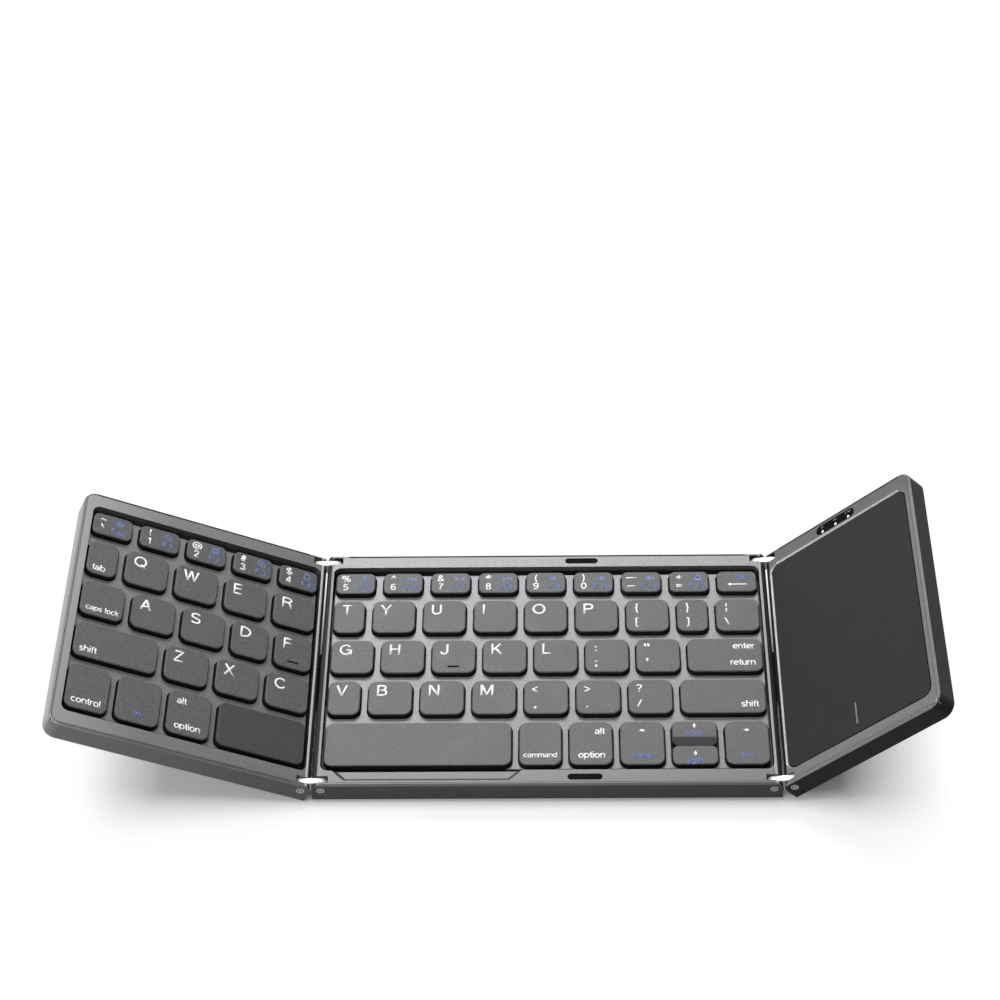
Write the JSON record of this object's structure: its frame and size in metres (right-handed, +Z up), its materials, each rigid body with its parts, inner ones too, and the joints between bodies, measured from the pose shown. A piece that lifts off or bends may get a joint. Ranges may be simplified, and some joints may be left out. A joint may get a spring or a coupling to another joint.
{
  "type": "folding keyboard",
  "caption": "Pocket keyboard in hinged sections: a key deck with a keyed wing at its left and a touchpad wing at its right, which fold flat over it on double-pivot link plates.",
  "frame": {"origin": "middle of the flat underside of the centre section's casing", "axes": "+X to the touchpad wing, +Y to the back edge, +Z up out of the keys"},
  "size_m": [0.285, 0.098, 0.051],
  "materials": {
    "casing": "matte paint",
    "top_frame": "bead-blasted",
    "lattice": "matte paint",
    "keys": "fine matte",
    "touchpad": "fine matte",
    "link_metal": "polished",
    "rubber": "matte",
    "dome_rubber": "translucent matte",
    "board": "satin",
    "circuit_board": "satin",
    "battery_foil": "satin foil",
    "socket_metal": "satin",
    "black_plastic": "matte",
    "inlay": "gloss",
    "lamp": "clear"
  },
  "bodies": {
    "centre": {"centre_case": "casing", "centre_frame": "top_frame", "centre_lattice": "lattice", "centre_key_board": "board", "centre_domes": "dome_rubber", "centre_feet": "rubber", "centre_magnets": "inlay", "centre_pivot_screws": "link_metal"},
    "left_link": {"left_link_front": "link_metal", "left_link_back": "link_metal", "left_ribbon": "rubber"},
    "left_wing": {"left_case": "casing", "left_frame": "top_frame", "left_lattice": "lattice", "left_key_board": "board", "left_domes": "dome_rubber", "left_feet": "rubber", "left_pivot_screws": "link_metal"},
    "right_link": {"right_link_front": "link_metal", "right_link_back": "link_metal", "right_ribbon": "rubber"},
    "right_wing": {"right_case": "casing", "right_frame": "top_frame", "main_board": "circuit_board", "battery": "battery_foil", "socket_shell": "socket_metal", "socket_tongue": "black_plastic", "switch_body": "socket_metal", "indicator_window": "inlay", "indicator_lamps": "lamp", "right_feet": "rubber", "right_pivot_screws": "link_metal"},
    "touchpad": {"touchpad": "touchpad", "sensor_board": "circuit_board"},
    "power_switch": {"switch_slider": "black_plastic"},
    "centre_number_keys": {"centre_number_keys": "keys"},
    "key_backspace": {"key_backspace": "keys"},
    "centre_upper_keys": {"centre_upper_keys": "keys"},
    "centre_home_keys": {"centre_home_keys": "keys"},
    "key_enter": {"key_enter": "keys"},
    "centre_lower_keys": {"centre_lower_keys": "keys"},
    "key_shift_right": {"key_shift_right": "keys"},
    "key_space_right": {"key_space_right": "keys"},
    "centre_modifier_keys": {"centre_modifier_keys": "keys"},
    "key_left": {"key_left": "keys"},
    "key_up": {"key_up": "keys"},
    "key_down": {"key_down": "keys"},
    "key_right": {"key_right": "keys"},
    "left_number_keys": {"left_number_keys": "keys"},
    "key_tab": {"key_tab": "keys"},
    "left_upper_keys": {"left_upper_keys": "keys"},
    "key_caps_lock": {"key_caps_lock": "keys"},
    "left_home_keys": {"left_home_keys": "keys"},
    "key_shift_left": {"key_shift_left": "keys"},
    "left_lower_keys": {"left_lower_keys": "keys"},
    "left_modifier_keys": {"left_modifier_keys": "keys"},
    "key_space_left": {"key_space_left": "keys"}
  },
  "joints": [
    {"name": "left_link_fold", "type": "hinge", "parent": "centre", "child": "left_link", "pos_m": [-0.073, 0, 0.0056], "axis": [0, 1, 0], "range_deg": [0, 90], "deforming": ["left_ribbon"]},
    {"name": "left_wing_fold", "type": "hinge", "parent": "left_link", "child": "left_wing", "pos_m": [-0.0795, 0, 0.0056], "axis": [0, 1, 0], "range_deg": [-24.5, 65.5]},
    {"name": "right_link_fold", "type": "hinge", "parent": "centre", "child": "right_link", "pos_m": [0.073, 0, 0.0056], "axis": [0, -1, 0], "range_deg": [-7, 83], "deforming": ["right_ribbon"]},
    {"name": "right_wing_fold", "type": "hinge", "parent": "right_link", "child": "right_wing", "pos_m": [0.07945, 0, 0.00639], "axis": [0, -1, 0], "range_deg": [-37, 53]},
    {"name": "power_switch_slide", "type": "slide", "parent": "right_wing", "child": "power_switch", "axis": [0.7193, 0, 0.6947], "range_m": [0, 0.0026]},
    {"name": "touchpad_click", "type": "hinge", "parent": "right_wing", "child": "touchpad", "pos_m": [0.0992, 0.042, 0.02755], "axis": [-0.7193, 0, -0.6947], "range_deg": [-0.34, 0], "stiffness_Nm_per_rad": 12, "springref_deg": 0.23},
    {"name": "centre_number_keys_press", "type": "slide", "parent": "centre", "child": "centre_number_keys", "axis": [0, 0, 1], "range_m": [-0.0012, 0], "stiffness_N_per_m": 3040, "springref_m": 0.0004, "deforming": ["centre_domes"]},
    {"name": "key_backspace_press", "type": "slide", "parent": "centre", "child": "key_backspace", "axis": [0, 0, 1], "range_m": [-0.0012, 0], "stiffness_N_per_m": 380, "springref_m": 0.0004, "deforming": ["centre_domes"]},
    {"name": "centre_upper_keys_press", "type": "slide", "parent": "centre", "child": "centre_upper_keys", "axis": [0, 0, 1], "range_m": [-0.0012, 0], "stiffness_N_per_m": 3420, "springref_m": 0.0004, "deforming": ["centre_domes"]},
    {"name": "centre_home_keys_press", "type": "slide", "parent": "centre", "child": "centre_home_keys", "axis": [0, 0, 1], "range_m": [-0.0012, 0], "stiffness_N_per_m": 2660, "springref_m": 0.0004, "deforming": ["centre_domes"]},
    {"name": "key_enter_press", "type": "slide", "parent": "centre", "child": "key_enter", "axis": [0, 0, 1], "range_m": [-0.0012, 0], "stiffness_N_per_m": 380, "springref_m": 0.0004, "deforming": ["centre_domes"]},
    {"name": "centre_lower_keys_press", "type": "slide", "parent": "centre", "child": "centre_lower_keys", "axis": [0, 0, 1], "range_m": [-0.0012, 0], "stiffness_N_per_m": 2660, "springref_m": 0.0004, "deforming": ["centre_domes"]},
    {"name": "key_shift_right_press", "type": "slide", "parent": "centre", "child": "key_shift_right", "axis": [0, 0, 1], "range_m": [-0.0012, 0], "stiffness_N_per_m": 380, "springref_m": 0.0004, "deforming": ["centre_domes"]},
    {"name": "key_space_right_press", "type": "slide", "parent": "centre", "child": "key_space_right", "axis": [0, 0, 1], "range_m": [-0.0012, 0], "stiffness_N_per_m": 380, "springref_m": 0.0004, "deforming": ["centre_domes"]},
    {"name": "centre_modifier_keys_press", "type": "slide", "parent": "centre", "child": "centre_modifier_keys", "axis": [0, 0, 1], "range_m": [-0.0012, 0], "stiffness_N_per_m": 760, "springref_m": 0.0004, "deforming": ["centre_domes"]},
    {"name": "key_left_press", "type": "slide", "parent": "centre", "child": "key_left", "axis": [0, 0, 1], "range_m": [-0.0012, 0], "stiffness_N_per_m": 380, "springref_m": 0.0004, "deforming": ["centre_domes"]},
    {"name": "key_up_press", "type": "slide", "parent": "centre", "child": "key_up", "axis": [0, 0, 1], "range_m": [-0.0012, 0], "stiffness_N_per_m": 380, "springref_m": 0.0004, "deforming": ["centre_domes"]},
    {"name": "key_down_press", "type": "slide", "parent": "centre", "child": "key_down", "axis": [0, 0, 1], "range_m": [-0.0012, 0], "stiffness_N_per_m": 380, "springref_m": 0.0004, "deforming": ["centre_domes"]},
    {"name": "key_right_press", "type": "slide", "parent": "centre", "child": "key_right", "axis": [0, 0, 1], "range_m": [-0.0012, 0], "stiffness_N_per_m": 380, "springref_m": 0.0004, "deforming": ["centre_domes"]},
    {"name": "left_number_keys_press", "type": "slide", "parent": "left_wing", "child": "left_number_keys", "axis": [0.4147, 0, 0.91], "range_m": [-0.0012, 0], "stiffness_N_per_m": 1900, "springref_m": 0.0004, "deforming": ["left_domes"]},
    {"name": "key_tab_press", "type": "slide", "parent": "left_wing", "child": "key_tab", "axis": [0.4147, 0, 0.91], "range_m": [-0.0012, 0], "stiffness_N_per_m": 380, "springref_m": 0.0004, "deforming": ["left_domes"]},
    {"name": "left_upper_keys_press", "type": "slide", "parent": "left_wing", "child": "left_upper_keys", "axis": [0.4147, 0, 0.91], "range_m": [-0.0012, 0], "stiffness_N_per_m": 1520, "springref_m": 0.0004, "deforming": ["left_domes"]},
    {"name": "key_caps_lock_press", "type": "slide", "parent": "left_wing", "child": "key_caps_lock", "axis": [0.4147, 0, 0.91], "range_m": [-0.0012, 0], "stiffness_N_per_m": 380, "springref_m": 0.0004, "deforming": ["left_domes"]},
    {"name": "left_home_keys_press", "type": "slide", "parent": "left_wing", "child": "left_home_keys", "axis": [0.4147, 0, 0.91], "range_m": [-0.0012, 0], "stiffness_N_per_m": 1520, "springref_m": 0.0004, "deforming": ["left_domes"]},
    {"name": "key_shift_left_press", "type": "slide", "parent": "left_wing", "child": "key_shift_left", "axis": [0.4147, 0, 0.91], "range_m": [-0.0012, 0], "stiffness_N_per_m": 380, "springref_m": 0.0004, "deforming": ["left_domes"]},
    {"name": "left_lower_keys_press", "type": "slide", "parent": "left_wing", "child": "left_lower_keys", "axis": [0.4147, 0, 0.91], "range_m": [-0.0012, 0], "stiffness_N_per_m": 1140, "springref_m": 0.0004, "deforming": ["left_domes"]},
    {"name": "left_modifier_keys_press", "type": "slide", "parent": "left_wing", "child": "left_modifier_keys", "axis": [0.4147, 0, 0.91], "range_m": [-0.0012, 0], "stiffness_N_per_m": 1140, "springref_m": 0.0004, "deforming": ["left_domes"]},
    {"name": "key_space_left_press", "type": "slide", "parent": "left_wing", "child": "key_space_left", "axis": [0.4147, 0, 0.91], "range_m": [-0.0012, 0], "stiffness_N_per_m": 380, "springref_m": 0.0004, "deforming": ["left_domes"]}
  ]
}
